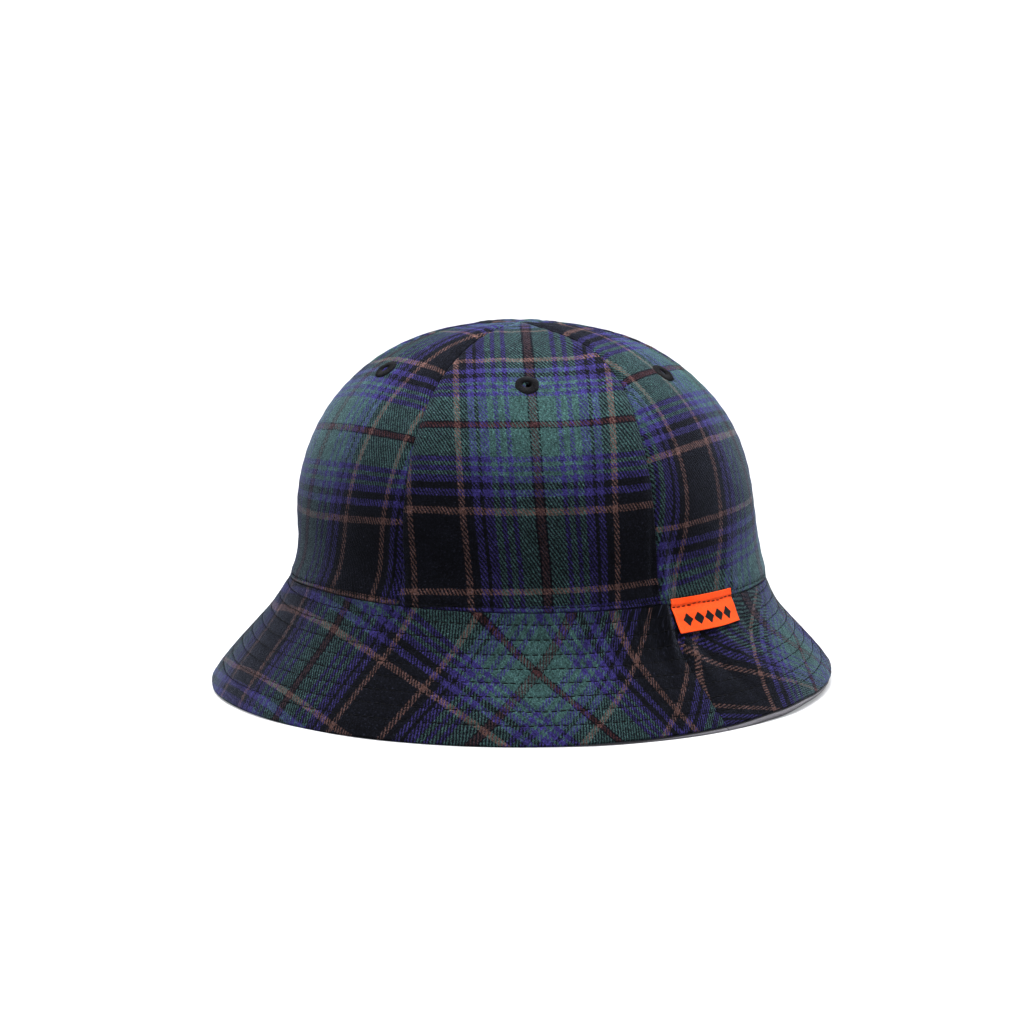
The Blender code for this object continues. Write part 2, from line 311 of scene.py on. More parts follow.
def brim_grain(azc, az, s):
    """Each half of the brim is one flat sector, laid round a cone."""
    slope = (RIM_R - SEAM_R) / BRIM_L
    reach = SEAM_R * 1000 / slope
    turn = np.radians(wrap(az - azc)) * slope
    u = (reach + s * 1000) * np.sin(turn)
    v = (reach + s * 1000) * np.cos(turn) - reach
    if azc == 8:
        x, y = (u - 45) / 60, (v - 10) / 60
        cx = np.clip(x, -1.5, 1.75)
        cy = np.clip(y, -0.45 - 0.75 * smooth(cx), 0.75)
        bend_p = surface_fit(cx, cy, 3, (0, 0, 0, -1.393, 5.253, 5.323, 0.98, -1.701, 4.126, -3.672))
        bend_q = surface_fit(cx, cy, 3, (0, 0, 0, -1.042, 6.341, 5.141, 1.026, 3.644, -6.668, -18.242))
        return 34.541 + 56.2 * x + 4.54 * y + bend_p, 30.16 - 11.15 * x + 62.57 * y + bend_q
    near = np.clip(u, -172, -88)
    x, y = np.clip((u + 140) / 60, -0.5, 0.8), np.clip((v + 30) / 60, -0.55, 0.8)
    p = 112.3 + 1.103 * near + 0.93 * (u - near) - 0.379 * v + surface_fit(x, y, 2, (0, 0, 0, -23.8, 53.4, -28.1))
    q = 142.0 + 0.41 * near + 0.36 * (u - near) + 0.872 * v + surface_fit(x, y, 2, (0, 0, 0, -23.1, 28.1, -6.7))
    return p, q


# ---------------------------------------------------------------- meshes
def add(name, verts, faces, mat, uv=None, second=None, second_from=None, flat_faces=False):
    mesh = bpy.data.meshes.new(name)
    verts = np.asarray(verts, np.float32).reshape(-1, 3)
    faces = np.asarray(faces, np.int32)
    n = faces.shape[1]
    mesh.vertices.add(len(verts))
    mesh.vertices.foreach_set("co", verts.ravel())
    mesh.loops.add(faces.size)
    mesh.loops.foreach_set("vertex_index", faces.ravel())
    mesh.polygons.add(len(faces))
    mesh.polygons.foreach_set("loop_start", np.arange(0, faces.size, n, dtype=np.int32))
    mesh.polygons.foreach_set("use_smooth", np.full(len(faces), not flat_faces))
    if second is not None:
        which = np.zeros(len(faces), np.int32)
        which[second_from:] = 1
        mesh.polygons.foreach_set("material_index", which)
    mesh.update(calc_edges=True)
    if uv is not None:
        layer = mesh.uv_layers.new(name="grain")
        layer.data.foreach_set("uv", np.asarray(uv, np.float32).reshape(-1, 2)[faces.ravel()].ravel())
    mesh.materials.append(mat)
    if second is not None:
        mesh.materials.append(second)
    mesh.validate()
    obj = bpy.data.objects.new(name, mesh)
    bpy.context.scene.collection.objects.link(obj)
    return obj


def cloth(name, outer, inner, uv, mat, back=None, hole=None):
    """A closed sheet between two grids of points. hole leaves out a block of cells (i0, i1, j0, j1)."""
    nu, nv = outer.shape[:2]
    i = np.arange(nu * nv).reshape(nu, nv)
    keep = np.ones((nu - 1, nv - 1), bool)
    if hole:
        keep[hole[0]:hole[1], hole[2]:hole[3]] = False
    quad = np.stack([i[:-1, :-1], i[:-1, 1:], i[1:, 1:], i[1:, :-1]], -1)[keep]
    under = quad[:, ::-1] + nu * nv
    walls = []

    def wall(a, b):
        """A strip along the outer edge from a to b, as the outer faces beside it run from b to a."""
        walls.append(np.stack([a, b, b + nu * nv, a + nu * nv], -1))

    wall(i[:-1, 0], i[1:, 0])
    wall(i[1:, -1], i[:-1, -1])
    wall(i[0, 1:], i[0, :-1])
    wall(i[-1, :-1], i[-1, 1:])
    if hole:
        i0, i1, j0, j1 = hole
        wall(i[i0, j0:j1], i[i0, j0 + 1:j1 + 1])
        wall(i[i1, j0 + 1:j1 + 1], i[i1, j0:j1])
        wall(i[i0 + 1:i1 + 1, j0], i[i0:i1, j0])
        wall(i[i0:i1, j1], i[i0 + 1:i1 + 1, j1])
    faces = np.vstack([quad, *walls, under])
    verts = np.vstack([outer.reshape(-1, 3), inner.reshape(-1, 3)])
    uvs = np.vstack([uv.reshape(-1, 2)] * 2)
    return add(name, verts, faces, mat, uvs, back, len(faces) - len(under))


def tubes(name, centres, normals, sizes, mat, sides=6):
    """Many short threads in one mesh. centres and normals: (threads, samples, 3); sizes: (threads, samples)."""
    n, m = centres.shape[:2]
    along = np.gradient(centres, axis=1)
    along /= np.linalg.norm(along, axis=-1, keepdims=True)
    across = np.cross(normals, along)
    across /= np.linalg.norm(across, axis=-1, keepdims=True)
    up = np.cross(along, across)
    t = np.arange(sides) / sides * math.tau
    ring = centres[:, :, None] + sizes[:, :, None, None] * (
        np.cos(t)[None, None, :, None] * up[:, :, None] + np.sin(t)[None, None, :, None] * across[:, :, None])
    i = np.arange(n * m * sides).reshape(n, m, sides)
    a, b = i[:, :-1], i[:, 1:]
    faces = np.stack([a, np.roll(a, -1, 2), np.roll(b, -1, 2), b], -1).reshape(-1, 4)
    caps = []
    for end, order in ((i[:, 0], (3, 2, 1, 0)), (i[:, -1], (0, 1, 2, 3))):
        for k in range(1, sides // 2):
            q = np.stack([end[:, 0 if k == 1 else k * 2 - 2], end[:, k * 2 - 1], end[:, k * 2], end[:, (k * 2 + 1) % sides]], -1) \
                if sides == 4 else None
            if q is not None:
                caps.append(q[:, list(order)])
    if sides == 6:
        for end, order in ((i[:, 0], (3, 2, 1, 0)), (i[:, -1], (0, 1, 2, 3))):
            caps.append(end[:, [0, 1, 2, 3]][:, list(order)])
            caps.append(end[:, [0, 3, 4, 5]][:, list(order)])
    faces = np.vstack([faces, *caps]) if caps else faces
    length = np.r_[0, np.cumsum(np.linalg.norm(np.diff(centres[0], axis=0), axis=-1))] * 1000
    uv = np.stack(np.broadcast_arrays(length[None, :, None] + np.arange(n)[:, None, None] * 3.7, (t * 0.1)[None, None, :]), -1)
    return add(name, ring, faces, mat, uv)


# ---------------------------------------------------------------- materials
class Nodes:
    def __init__(self, name):
        self.mat = bpy.data.materials.new(name)
        self.mat.use_nodes = True
        self.tree = self.mat.node_tree
        self.shader = self.tree.nodes["Principled BSDF"]

    def new(self, kind, **settings):
        node = self.tree.nodes.new(kind)
        for key, value in settings.items():
            setattr(node, key, value)
        return node

    def put(self, socket, value):
        if isinstance(value, bpy.types.NodeSocket):
            self.tree.links.new(value, socket)
        else:
            socket.default_value = value

    def math(self, op, a, b=None, c=None, clamp=False):
        node = self.new("ShaderNodeMath", operation=op, use_clamp=clamp)
        for k, v in enumerate((a, b, c)):
            if v is not None:
                self.put(node.inputs[k], v)
        return node.outputs[0]

    def mix(self, factor, a, b, mode="MIX"):
        node = self.new("ShaderNodeMix", data_type="RGBA", blend_type=mode)
        self.put(node.inputs[0], factor)
        self.put(node.inputs[6], a if isinstance(a, bpy.types.NodeSocket) else (*a, 1))
        self.put(node.inputs[7], b if isinstance(b, bpy.types.NodeSocket) else (*b, 1))
        return node.outputs[2]

    def noise(self, scale, detail=2.0, rough=0.5, vector=None, distortion=0.0):
        node = self.new("ShaderNodeTexNoise")
        node.inputs["Scale"].default_value = scale
        node.inputs["Detail"].default_value = detail
        node.inputs["Roughness"].default_value = rough
        node.inputs["Distortion"].default_value = distortion
        if vector is not None:
            self.tree.links.new(vector, node.inputs["Vector"])
        return node.outputs["Fac"]

    def remap(self, value, lo, hi, to_lo, to_hi):
        node = self.new("ShaderNodeMapRange")
        for k, v in enumerate((value, lo, hi, to_lo, to_hi)):
            self.put(node.inputs[k], v)
        return node.outputs[0]

    def ramp(self, value, stops):
        """Hard-edged bands: stops are (start, colour)."""
        node = self.new("ShaderNodeValToRGB")
        node.color_ramp.interpolation = "CONSTANT"
        elements = node.color_ramp.elements
        while len(elements) > 1:
            elements.remove(elements[-1])
        elements[0].position, elements[0].color = stops[0][0], (*stops[0][1], 1)
        for at, colour in stops[1:]:
            e = elements.new(at)
            e.color = (*colour, 1)
        self.tree.links.new(value, node.inputs[0])
        return node.outputs[0]

    def uv(self):
        node = self.new("ShaderNodeUVMap", uv_map="grain")
        split = self.new("ShaderNodeSeparateXYZ")
        self.tree.links.new(node.outputs[0], split.inputs[0])
        return self.math("MULTIPLY", split.outputs[0], 100.0), self.math("MULTIPLY", split.outputs[1], 100.0)

    def place(self):
        """Position in the hat's own frame, which rides with the piece."""
        return self.new("ShaderNodeTexCoord").outputs["Object"]

    def combine(self, x, y, z=0.0):
        node = self.new("ShaderNodeCombineXYZ")
        for k, v in enumerate((x, y, z)):
            self.put(node.inputs[k], v)
        return node.outputs[0]

    def bump(self, height, distance, strength=1.0):
        node = self.new("ShaderNodeBump")
        node.inputs["Distance"].default_value = distance
        node.inputs["Strength"].default_value = strength
        self.tree.links.new(height, node.inputs["Height"])
        self.tree.links.new(node.outputs[0], self.shader.inputs["Normal"])

    def finish(self, **constants):
        for key, value in constants.items():
            socket = self.shader.inputs[key.replace("_", " ")]
            socket.default_value = (*value, 1) if isinstance(value, tuple) else value
        return self.mat


TONE = 1.0           # overall depth of the dyes


def dye(r, g, b):
    """A yarn colour as a screen value from 0 to 255, kept in that scale until the yarns are mixed."""
    return tuple(v / 255 * TONE for v in (r, g, b))


GREEN, VIOLET, BLACK = dye(61, 83, 82), dye(56, 51, 96), dye(25, 26, 32)
TAN, BROWN, EDGE = dye(92, 72, 68), dye(64, 50, 52), dye(20, 20, 26)
WEFT_BROWN = dye(66, 44, 46)
WARP_HALF, WEFT_HALF = 40.7, 50.4
WARP_BANDS = [(0, BROWN), (1.45, EDGE), (2.0, GREEN), (8.6, VIOLET), (10.7, GREEN), (12.9, VIOLET), (14.9, GREEN),
              (17.4, VIOLET), (21.0, BLACK), (22.5, VIOLET), (25.0, BLACK), (28.4, TAN), (30.8, BLACK)]
WEFT_BANDS = [(0, WEFT_BROWN), (0.8, EDGE), (1.7, GREEN), (13.6, VIOLET), (15.6, GREEN), (17.6, VIOLET), (19.6, GREEN),
              (21.6, VIOLET), (24.4, BLACK), (27.0, VIOLET), (29.7, BLACK), (34.2, TAN), (36.6, BLACK)]
WARP_PITCH, WEFT_PITCH = 0.356, 0.55


def plaid(name, depth):
    """depth scales the cloth's colour: above 1 lighter, below 1 darker. The brim's darker copy is painted shade."""
    n = Nodes(name)
    p, q = n.uv()
    plane = n.combine(p, q)
    wander = n.math("SUBTRACT", n.noise(0.16, 2, 0.5, plane), 0.5)
    fray = n.math("SUBTRACT", n.noise(1.9, 3, 0.7, plane), 0.5)
    p = n.math("ADD", n.math("MULTIPLY_ADD", wander, 0.7, p), n.math("MULTIPLY", fray, 1.45))
    q = n.math("ADD", n.math("MULTIPLY_ADD", wander, -0.8, q), n.math("MULTIPLY", fray, -1.45))
    yarn_p = n.math("MULTIPLY", n.math("ADD", n.math("FLOOR", n.math("DIVIDE", p, WARP_PITCH)), 0.5), WARP_PITCH)
    yarn_q = n.math("MULTIPLY", n.math("ADD", n.math("FLOOR", n.math("DIVIDE", q, WEFT_PITCH)), 0.5), WEFT_PITCH)
    warp = n.ramp(n.math("DIVIDE", n.math("PINGPONG", yarn_p, WARP_HALF), WARP_HALF), [(a / WARP_HALF, c) for a, c in WARP_BANDS])
    weft = n.ramp(n.math("DIVIDE", n.math("PINGPONG", yarn_q, WEFT_HALF), WEFT_HALF), [(a / WEFT_HALF, c) for a, c in WEFT_BANDS])
    # two up, two down: the yarn on top changes along lines that climb one yarn at a time
    turn = n.math("SUBTRACT", n.math("DIVIDE", p, 4 * WARP_PITCH), n.math("DIVIDE", q, 4 * WEFT_PITCH))
    ragged = n.math("MULTIPLY_ADD", n.math("SUBTRACT", n.noise(1.6, 2, 0.6, plane), 0.5), 0.5, turn)
    twill = n.math("SINE", n.math("MULTIPLY", ragged, math.tau))
    over = n.math("MULTIPLY_ADD", twill, 0.85, 0.42, clamp=True)
    weave = n.mix(over, weft, warp)
    # brushed nap: the surface fibres blur the weave and carry some paler fluff
    nap = n.noise(1.5, 5, 0.72, plane)
    fluff = n.noise(0.42, 3, 0.6, n.combine(n.math("MULTIPLY", p, 2.2), q))
    shade = n.math("MULTIPLY", n.remap(nap, 0.3, 0.7, 0.55, 1.40), n.remap(fluff, 0.3, 0.7, 0.82, 1.17))
    # broad random mottling of the cloth's tone, up to a tenth either way
    broad_mottle = n.noise(0.115, 3, 0.6, n.combine(p, n.math("MULTIPLY", q, 1.6)))
    shade = n.math("MULTIPLY", shade, n.remap(broad_mottle, 0.3, 0.7, 0.90, 1.10))
    # a depth below 1 darkens the whole colour; on the brim this is painted shade
    shade = n.math("MULTIPLY", shade, depth)
    grey = n.combine(shade, shade, shade)
    weave = n.mix(1.0, weave, grey, "MULTIPLY")
    pale = n.remap(n.noise(1.25, 2, 0.6, n.combine(n.math("MULTIPLY", p, 0.7), n.math("MULTIPLY", q, 1.3))), 0.56, 0.76, 0.0, 0.42)
    weave = n.mix(pale, weave, dye(88, 92, 112))
    gamma = n.new("ShaderNodeGamma")
    gamma.inputs[1].default_value = 2.2
    n.tree.links.new(weave, gamma.inputs[0])
    n.tree.links.new(gamma.outputs[0], n.shader.inputs["Base Color"])
    ridge = n.math("MULTIPLY_ADD", twill, 0.35, n.math("MULTIPLY", nap, 1.3))
    yarns = n.math("SINE", n.math("MULTIPLY", n.math("DIVIDE", p, WARP_PITCH), math.tau))
    picks = n.math("SINE", n.math("MULTIPLY", n.math("DIVIDE", q, WEFT_PITCH), math.tau))
    height = n.math("ADD", ridge, n.math("ADD", n.math("MULTIPLY", yarns, 0.10), n.math("MULTIPLY", picks, 0.10)))
    n.bump(height, 0.00022, 0.55)
    n.tree.links.new(n.remap(nap, 0.3, 0.7, 0.82, 1.0), n.shader.inputs["Roughness"])
    return n.finish(Sheen_Weight=0.19, Sheen_Roughness=0.27, Sheen_Tint=(0.70, 0.78, 1.0), Specular_IOR_Level=0.08)


def plain_weave(name, colour, second, pitch, sheen=0.15, rough=0.8, twill=0.0, depth=0.00008):
    n = Nodes(name)
    p, q = n.uv()
    plane = n.combine(p, q)
    a = n.math("SINE", n.math("MULTIPLY", p, math.tau / pitch))
    b = n.math("SINE", n.math("MULTIPLY", q, math.tau / pitch))
    cross = n.math("MULTIPLY", a, b)
    diagonal = n.math("SINE", n.math("MULTIPLY", n.math("ADD", p, q), math.tau / pitch / 2))
    weave = n.math("ADD", n.math("MULTIPLY", cross, 1 - twill), n.math("MULTIPLY", diagonal, twill))
    slub = n.noise(0.9, 3, 0.6, n.combine(n.math("MULTIPLY", p, 0.25), n.math("MULTIPLY", q, 2.0)))
    cloud = n.noise(0.06, 3, 0.55, plane)
    mixed = n.math("ADD", n.math("MULTIPLY", slub, 0.55), n.math("MULTIPLY", cloud, 0.45))
    tone = n.math("ADD", n.remap(mixed, 0.35, 0.65, 0.0, 1.0), n.math("MULTIPLY", weave, 0.16), clamp=True)
    n.tree.links.new(n.mix(tone, colour, second), n.shader.inputs["Base Color"])
    n.tree.links.new(n.remap(slub, 0.3, 0.7, rough - 0.08, rough + 0.08), n.shader.inputs["Roughness"])
    n.bump(n.math("ADD", weave, n.math("MULTIPLY", slub, 0.8)), depth, 0.6)
    return n.finish(Sheen_Weight=sheen, Sheen_Roughness=0.4, Specular_IOR_Level=0.25)


def thread(name, colour, pale):
    n = Nodes(name)
    p, q = n.uv()
    twist = n.math("SINE", n.math("MULTIPLY", n.math("ADD", p, n.math("MULTIPLY", q, 4.0)), math.tau / 0.55))
    fibre = n.noise(9.0, 2, 0.5, n.combine(p, q))
    n.tree.links.new(n.mix(n.remap(n.math("ADD", fibre, n.math("MULTIPLY", twist, 0.14)), 0.3, 0.75, 0.0, 1.0), colour, pale),
                     n.shader.inputs["Base Color"])
    n.bump(twist, 0.00004, 0.5)
    return n.finish(Roughness=0.75, Sheen_Weight=0.02, Specular_IOR_Level=0.12)


def orange():
    n = Nodes("orange_woven_label")
    p, q = n.uv()
    plane = n.combine(p, q)
    ribs = n.math("SINE", n.math("MULTIPLY", q, math.tau / 0.34))
    warp = n.math("SINE", n.math("MULTIPLY", p, math.tau / 0.19))
    slub = n.noise(1.4, 3, 0.6, n.combine(n.math("MULTIPLY", p, 3.0), n.math("MULTIPLY", q, 0.6)))
    tone = n.math("ADD", n.remap(slub, 0.3, 0.7, 0.0, 1.0), n.math("MULTIPLY", ribs, 0.12), clamp=True)
    ground = n.mix(tone, (0.60, 0.067, 0.0085), (0.72, 0.099, 0.0135))
    # a row of small woven lozenges, stepped at the yarns
    step_p = n.math("SNAP", p, 0.24)
    step_q = n.math("SNAP", n.math("ADD", q, 5.7), 0.24)
    cell = n.math("PINGPONG", n.math("ADD", step_p, 2.7), 2.7)
    body = n.math("ADD", n.math("DIVIDE", n.math("SUBTRACT", 2.7, cell), 2.5), n.math("DIVIDE", n.math("ABSOLUTE", step_q), 2.7))
    inside = n.math("MULTIPLY", n.math("LESS_THAN", body, 1.0), n.math("LESS_THAN", n.math("ABSOLUTE", step_p), 13.4))
    n.tree.links.new(n.mix(inside, ground, (0.004, 0.004, 0.005)), n.shader.inputs["Base Color"])
    n.bump(n.math("ADD", n.math("MULTIPLY", ribs, 0.6), n.math("ADD", n.math("MULTIPLY", warp, 0.25), n.math("MULTIPLY", slub, 0.9))), 0.00006, 0.6)
    return n.finish(Roughness=0.65, Sheen_Weight=0.04, Sheen_Roughness=0.4, Specular_IOR_Level=0.15)


PLAID = plaid("plaid_flannel_cloth", 0.97)
# the brim's copy is darker: painted shade, not a different cloth
SHADED_BRIM_PLAID = plaid("plaid_flannel_brim", 0.91)
LINING = plain_weave("lavender_grey_lining", (0.105, 0.102, 0.113), (0.146, 0.142, 0.156), 0.42)
STIFF = plain_weave("interlining_cloth", (0.66, 0.65, 0.61), (0.76, 0.75, 0.71), 0.8, depth=0.00012)
BAND = plain_weave("sweatband_twill", (0.020, 0.020, 0.028), (0.036, 0.036, 0.046), 0.5, sheen=0.25, rough=0.88, twill=0.8)
THREAD = thread("black_thread", (0.003, 0.003, 0.004), (0.010, 0.010, 0.013))
EYELET_THREAD = thread("eyelet_thread", (0.010, 0.010, 0.012), (0.026, 0.026, 0.030))
GREY_THREAD = thread("grey_thread", (0.13, 0.12, 0.15), (0.22, 0.20, 0.25))
ORANGE = orange()
WHITE = plain_weave("white_tape", (0.66, 0.66, 0.64), (0.80, 0.80, 0.78), 0.36, sheen=0.05, rough=0.6)


def hold(obj, slot, *nodes, body="hat"):
    if nodes:
        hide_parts(*nodes)
    if body:
        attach(obj, body)
    return obj


# ---------------------------------------------------------------- crown: shell and lining panels
SHELL_T = 0.0009
PANELS = {"front": 0, "front_left": 60, "rear_left": 120, "rear": 180, "rear_right": 240, "front_right": 300}
eye_s = {0: 0.0640, 60: 0.0662, 120: 0.0655, 180: EYELET_S, 240: EYELET_S, 300: EYELET_S}
eye_turn = {0: -0.8, 60: 1.2, 120: 1.6, 180: 0.0, 240: 0.5, 300: -0.6}
for where, azc in PANELS.items():
    x = spaced(math.radians(60) * CROWN_R, 0.0015)
    phi = np.degrees(x / CROWN_R) - 30
    phi = phi * (1 - 0.012 / 30)
    s = 0.0009 + spaced(CROWN_L - 0.0009, 0.0014)
    AZ, S = np.meshgrid(azc + phi, s, indexing="ij")
    S = S - seam_climb(AZ) * np.clip((S - CROWN_L + 0.03) / 0.03, 0, 1)
    point, normal, _ = frame_of("crown", AZ, S)
    r = radius("crown", S)
    edge = np.radians(30 - np.abs(wrap(AZ - azc))) * r
    ends = CROWN_L - seam_climb(AZ)
    size = np.minimum(0.0007, 0.16 * math.radians(30) * r)
    plain = AZ
    across = (AZ - azc) / 60 + 0.5
    AZ = AZ + gore_sway(azc - 30, S) * (1 - across) + gore_sway(azc + 30, S) * across
    point, normal, _ = frame_of("crown", AZ, S)
    h = relief("crown", AZ, S) + crown_detail(plain, S)
    top = h - roll(edge, size) - roll(ends - S, 0.0005)
    low = np.minimum(relief("crown", AZ, S) - SHELL_T, top - 0.00025)
    p, q = crown_grain(azc, AZ, S)
    # cells left out behind the eyelet
    ei = np.argmin(np.abs(AZ[:, 60] - azc - eye_turn[azc]))
    ej = np.argmin(np.abs(s - eye_s[azc]))
    obj = cloth("shell_panel_" + where, point + normal * top[..., None], point + normal * low[..., None],
                np.stack([p, q], -1) / 100, PLAID, hole=(ei - 1, ei + 2, ej - 1, ej + 2))
    hold(obj, "plaid_flannel", "crown_panel_" + where)

    x = spaced(math.radians(60) * CROWN_R, 0.0026, near=(0, 0.0004, 0.0009, 0.0016, 0.0026))
    phi = (np.degrees(x / CROWN_R) - 30) * (1 - 0.002 / 30)
    s = 0.0009 + spaced(CROWN_L - 0.0013, 0.0026, near=(0, 0.0004, 0.0009, 0.0016, 0.0026))
    AZ, S = np.meshgrid(azc + phi, s, indexing="ij")
    point, normal, _ = frame_of("crown", AZ, S)
    r = radius("crown", S)
    edge = np.radians(30 - np.abs(wrap(AZ - azc))) * r
    ripple = 0.00025 * np.sin(np.radians(AZ) * 11 + S * 140) * smooth(S / 0.05)
    top = relief("crown", AZ, S) * 0.7 - 0.0024 + np.minimum(ripple, 0)
    low = top - 0.0005 + roll(edge, np.minimum(0.0012, 0.2 * r)) * 0.9
    top = np.maximum(top, low + 0.0001)
    obj = cloth("lining_panel_cloth_" + where, point + normal * top[..., None], point + normal * low[..., None],
                np.stack(flat("crown", AZ - azc, S)[:1] + (S * 1000,), -1) / 100, LINING)
    hold(obj, "lining_cloth", "lining_panel_" + where)

# ---------------------------------------------------------------- brim: top, interlining and facing, in two halves
def peek(az):
    """Height of the facing that shows below the top cloth: most at the wearer's left."""
    return 0.0002 + 0.0019 * bell(wrap(az - 108), 28) + 0.0004 * bell(wrap(az - 262), 30) * (1 + np.sin(np.radians(az) * 5)) / 2


def on_floor(p):
    """The brim's edge is pressed flat where it stands."""
    p = p.copy()
    p[..., 2] = np.maximum(p[..., 2], 0.00005)
    return p


for where, azc, a0, a1 in (("front", 8, -82.0, 98.0), ("rear", 188, 98.0, 278.0)):
    t = spaced(math.pi * 0.111, 0.0017) / (math.pi * 0.111)
    rows = [-0.004, -0.0039, -0.00375, -0.0035, -0.0031, -0.0026, -0.0020, -0.0014]
    for row in ROWS:
        rows += [row + d for d in (-0.0019, -0.0012, -0.0007, -0.0003, 0, 0.0003, 0.0007, 0.0012, 0.0019)]
    rows += list(BRIM_L - np.array([0.0058, 0.0044, 0.0032, 0.0022, 0.0015, 0.0010, 0.0007, 0.00045, 0.00025, 0.0001, 0]))
    s = np.array(sorted({round(v, 6) for v in rows if v <= BRIM_L}))
    T, S = np.meshgrid(t, s, indexing="ij")
    start, end = (side_seam(S) - 180, side_seam(S)) if where == "front" else (side_seam(S), side_seam(S) + 180)
    AZ = start + 0.012 + (end - start - 0.024) * T
    S = np.where(S < 0.001, 0.001 - (0.001 - S) * (0.001 + seam_climb(AZ) - 0.00005) / 0.005, S)
    seam = S + seam_climb(AZ)
    ends = BRIM_L - peek(AZ) / 0.83
    S = np.where(S > BRIM_L - 0.008, BRIM_L - 0.008 + (S - BRIM_L + 0.008) * (ends - BRIM_L + 0.008) / 0.008, S)
    point, normal, _ = frame_of("brim", AZ, S)
    r = radius("brim", S)
    edge = np.radians(np.minimum(AZ - start, end - AZ)) * r
    h = relief("brim", AZ, S) + brim_detail(AZ, S)
    top = h - roll(edge, 0.0003) - roll(seam, 0.0004) - 0.00018 * bell(seam, 0.0009) - roll(ends - S, 0.0006)
    low = np.minimum(relief("brim", AZ, S) - SHELL_T - 0.0001, top - 0.0002)
    p, q = brim_grain(azc, AZ, S)
    obj = cloth("brim_cloth_" + where, on_floor(point + normal * top[..., None]), on_floor(point + normal * low[..., None]),
                np.stack([p, q], -1) / 100, SHADED_BRIM_PLAID)
    hold(obj, "plaid_flannel", "brim_top_" + where)

    tc = np.linspace(0.003, 0.997, 150)
    sc = np.linspace(0.0015, BRIM_L - 0.0035, 26)
    T, S = np.meshgrid(tc, sc, indexing="ij")
    start, end = (side_seam(S) - 180, side_seam(S)) if where == "front" else (side_seam(S), side_seam(S) + 180)
    AZ = start + (end - start) * T
    point, normal, _ = frame_of("brim", AZ, S)
    h = relief("brim", AZ, S)
    obj = cloth("interlining_cloth_" + where, point + normal * (h - 0.0014)[..., None], point + normal * (h - 0.0018)[..., None],
                np.stack(flat("brim", AZ - azc, S), -1) / 100, STIFF)
    hold(obj, "interlining", "brim_interlining_" + where)

    # the facing: its turned edge stands out below the top cloth on the wearer's left
    t = spaced(math.pi * 0.111, 0.0026, near=(0, 0.0003, 0.0008, 0.0015, 0.0025)) / (math.pi * 0.111)
    rows = [0, 0.0004, 0.0008]
    for row in ROWS:
        rows += [row + d for d in (-0.0018, -0.0009, -0.0004, 0, 0.0004, 0.0009, 0.0018)]
    rows += list(BRIM_L - np.array([0.0064, 0.0052, 0.0044, 0.0038, 0.0033, 0.0029, 0.0026, 0.0023, 0.0020, 0.0017, 0.0014, 0.0011,
                                    0.0008, 0.0006, 0.0004, 0.0002, 0.0001, 0]))
    s = np.array(sorted({round(v, 6) for v in rows if 0 <= v <= BRIM_L}))
    T, S = np.meshgrid(t, s, indexing="ij")
    start, end = (side_seam(S) - 180, side_seam(S)) if where == "front" else (side_seam(S), side_seam(S) + 180)
    AZ = start + 0.035 + (end - start - 0.07) * T
    point, normal, _ = frame_of("brim", AZ, S)
    r = radius("brim", S)
    edge = np.radians(np.minimum(AZ - start, end - AZ)) * r
    h = relief("brim", AZ, S)
    quilt = np.zeros(S.shape)
    for row in ROWS:
        quilt += 0.00022 * bell(S - row, 0.0006)
    shown = np.clip(peek(AZ) / 0.0012, 0, 1)
    limit = BRIM_L - peek(AZ) / 0.83
    depth = 0.0021 - 0.0010 * smooth((S - (limit - 0.0017)) / 0.0012) - 0.0007 * shown * smooth((S - limit - 0.0001) / 0.0009)
    tip = BRIM_L - 0.00015 - S
    top = h - depth - roll(tip, 0.0007) - roll(edge, 0.0004) * 0.8
    low = h - 0.0029 + quilt + roll(edge, 0.0006) * 0.8 + roll(tip, 0.0007)
    low = np.minimum(low, top - 0.0001)
    x, y = flat("brim", AZ - azc, S)
    obj = cloth("facing_cloth_" + where, on_floor(point + normal * top[..., None]), on_floor(point + normal * low[..., None]),
                np.stack([x, S * 1000 - y], -1) / 100, LINING)
    hold(obj, "lining_cloth", "brim_under_" + where)


# ---------------------------------------------------------------- stitching
def stitch_line(name, kind, az_from, az_to, s_of, pitch, length, size, mat, detail, offset=0.0, side=1.0, samples=7, sides=6, skip=None, slot="black_thread", climbs=False):
    """Stitches along a line of constant s. offset is along the normal; side -1 lays them on the inside."""
    rows_c, rows_n, rows_r = [], [], []
    for s0 in s_of:
        r0 = float(radius(kind, s0))
        count = int(abs(math.radians(az_to - az_from)) * r0 / pitch)
        step = (az_to - az_from) / count
        start = az_from + step * np.arange(count) + rng.uniform(0, 1) * step + rng.normal(0, 0.04, count) * step
        if skip:
            start = start[[not skip(a) for a in start]]
        x = np.linspace(0, 1, samples)
        az = start[:, None] + x[None] * step * length / pitch
        s = s0 - (seam_climb(az) if climbs else 0) + rng.normal(0, 0.00008, len(start))[:, None] + (x[None] - 0.5) * rng.normal(0, 0.00014, len(start))[:, None]
        point, normal, _ = frame_of(kind, az, s)
        h = relief(kind, az, s) + (detail(az, s) if detail else 0) + offset
        arch = np.sin(x * math.pi) ** 0.45
        lift = -0.00025 + (0.00025 + size * 0.55) * arch[None]
        rows_c.append(point + normal * (h + side * lift)[..., None])
        rows_n.append(normal)
        rows_r.append(np.broadcast_to(size * (0.75 + 0.25 * arch)[None], az.shape))
    obj = tubes(name, np.concatenate(rows_c), np.concatenate(rows_n), np.concatenate(rows_r), mat, sides)
    return hold(obj, slot)


